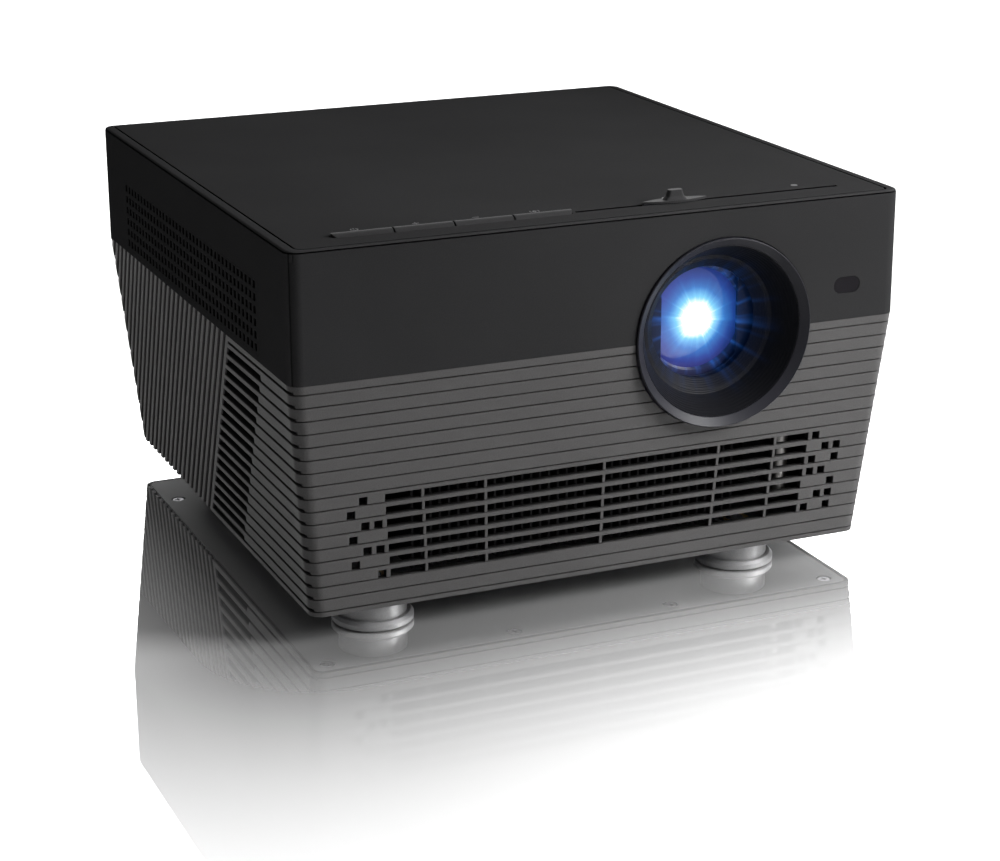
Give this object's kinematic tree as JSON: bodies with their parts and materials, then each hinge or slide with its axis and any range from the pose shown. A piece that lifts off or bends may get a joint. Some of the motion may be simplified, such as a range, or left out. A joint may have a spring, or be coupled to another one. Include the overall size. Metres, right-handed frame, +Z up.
{
  "type": "home projector",
  "caption": "Compact home projector with a ribbed, vented skirt, a large round lens with a sliding cover, top keys and a dark perforated upper band.",
  "frame": {"origin": "on the surface the feet stand on, under the middle of the overall width and depth", "axes": "+Z up, the lens faces -Y, +X to the right of a viewer who faces the lens"},
  "size_m": [0.2132, 0.2168, 0.1349],
  "materials": {
    "band_plastic": "fine matte grain, near black",
    "lid_plastic": "fine matte grain, near black",
    "skirt_plastic": "satin dark grey",
    "base_plastic": "matte black",
    "key_plastic": "satin black",
    "inner_plastic": "matte black",
    "window_plastic": "dark infrared filter, glossy",
    "ring_gloss": "polished black",
    "pad_rubber": "matte rubber",
    "screw_steel": "blackened steel",
    "socket_steel": "nickel plated",
    "insert_brass": "turned brass",
    "retainer_metal": "dark anodised",
    "lens_glass": "coated optical glass",
    "cast_aluminium": "plain",
    "pipe_copper": "copper, nickel flashed",
    "circuit_board": "green solder mask"
  },
  "bodies": {
    "casing": {"upper_housing": "band_plastic", "front_bezel": "band_plastic", "top_panel": "lid_plastic", "speaker_grille_left": "band_plastic", "speaker_grille_right": "band_plastic", "front_grille": "skirt_plastic", "side_grille_left": "skirt_plastic", "side_grille_right": "skirt_plastic", "rear_panel": "skirt_plastic", "base_plate": "base_plastic", "case_screws": "screw_steel", "rear_feet": "base_plastic", "rear_pads": "pad_rubber", "foot_inserts": "insert_brass", "keypad_board": "circuit_board", "tact_switches": "inner_plastic", "lens_ring": "ring_gloss", "lens_hood": "inner_plastic", "aperture_plate": "inner_plastic", "lens_barrel": "inner_plastic", "lens_retainer": "retainer_metal", "front_lens": "lens_glass", "rear_lens": "lens_glass", "focus_motor": "screw_steel", "optical_engine": "cast_aluminium", "engine_bracket": "socket_steel", "imager_board": "circuit_board", "blue_led": "pipe_copper", "red_led": "pipe_copper", "green_led": "pipe_copper", "left_heat_sink": "cast_aluminium", "right_heat_sink": "cast_aluminium", "heat_pipes": "pipe_copper", "intake_fan_frame": "inner_plastic", "exhaust_fan_frame": "inner_plastic", "main_board": "circuit_board", "hdmi_sockets": "socket_steel", "usb_sockets": "socket_steel", "audio_jack": "inner_plastic", "power_inlet": "inner_plastic", "inlet_pins": "insert_brass", "power_board": "circuit_board", "ir_window": "window_plastic", "ir_receiver": "circuit_board", "speaker_left": "inner_plastic", "speaker_right": "inner_plastic"},
    "cover": {"lens_cover": "inner_plastic", "cover_knob": "key_plastic"},
    "power_button": {"power_key": "key_plastic"},
    "volume_up_button": {"volume_up_key": "key_plastic"},
    "volume_down_button": {"volume_down_key": "key_plastic"},
    "focus_button": {"focus_key": "key_plastic"},
    "intake_rotor": {"intake_fan_rotor": "inner_plastic"},
    "exhaust_rotor": {"exhaust_fan_rotor": "inner_plastic"},
    "focus_drive": {"focus_ring": "inner_plastic"},
    "focus_gear": {"focus_pinion": "insert_brass"},
    "front_left_foot": {"foot_front_left": "base_plastic", "pad_front_left": "pad_rubber"},
    "front_right_foot": {"foot_front_right": "base_plastic", "pad_front_right": "pad_rubber"}
  },
  "joints": [
    {"name": "lens_cover_slide", "type": "slide", "parent": "casing", "child": "cover", "axis": [1, 0, 0], "range_m": [0, 0.0478]},
    {"name": "power_press", "type": "slide", "parent": "casing", "child": "power_button", "axis": [0, 0, -1], "range_m": [0, 0.0006], "stiffness_N_per_m": 2500, "springref_m": -0.0001},
    {"name": "volume_up_press", "type": "slide", "parent": "casing", "child": "volume_up_button", "axis": [0, 0, -1], "range_m": [0, 0.0006], "stiffness_N_per_m": 2500, "springref_m": -0.0001},
    {"name": "volume_down_press", "type": "slide", "parent": "casing", "child": "volume_down_button", "axis": [0, 0, -1], "range_m": [0, 0.0006], "stiffness_N_per_m": 2500, "springref_m": -0.0001},
    {"name": "focus_press", "type": "slide", "parent": "casing", "child": "focus_button", "axis": [0, 0, -1], "range_m": [0, 0.0006], "stiffness_N_per_m": 2500, "springref_m": -0.0001},
    {"name": "intake_fan_spin", "type": "hinge", "parent": "casing", "child": "intake_rotor", "pos_m": [-0.0865, -0.02035, 0.0485], "axis": [1, 0, 0], "continuous": true},
    {"name": "exhaust_fan_spin", "type": "hinge", "parent": "casing", "child": "exhaust_rotor", "pos_m": [0.0865, -0.02035, 0.0485], "axis": [1, 0, 0], "continuous": true},
    {"name": "focus_turn", "type": "hinge", "parent": "casing", "child": "focus_drive", "pos_m": [0.0416, -0.06735, 0.0889], "axis": [0, 1, 0], "range_deg": [-60, 60]},
    {"name": "focus_gear_turn", "type": "hinge", "parent": "casing", "child": "focus_gear", "pos_m": [0.0112, -0.06735, 0.0889], "axis": [0, 1, 0], "range_deg": [-270, 270]},
    {"name": "front_left_foot_adjust", "type": "slide", "parent": "casing", "child": "front_left_foot", "axis": [0, 0, -1], "range_m": [0, 0.004]},
    {"name": "front_right_foot_adjust", "type": "slide", "parent": "casing", "child": "front_right_foot", "axis": [0, 0, -1], "range_m": [0, 0.004]}
  ],
  "couplings": [
    {"joint": "focus_gear_turn", "follows": "focus_turn", "ratio": -4.4286}
  ]
}
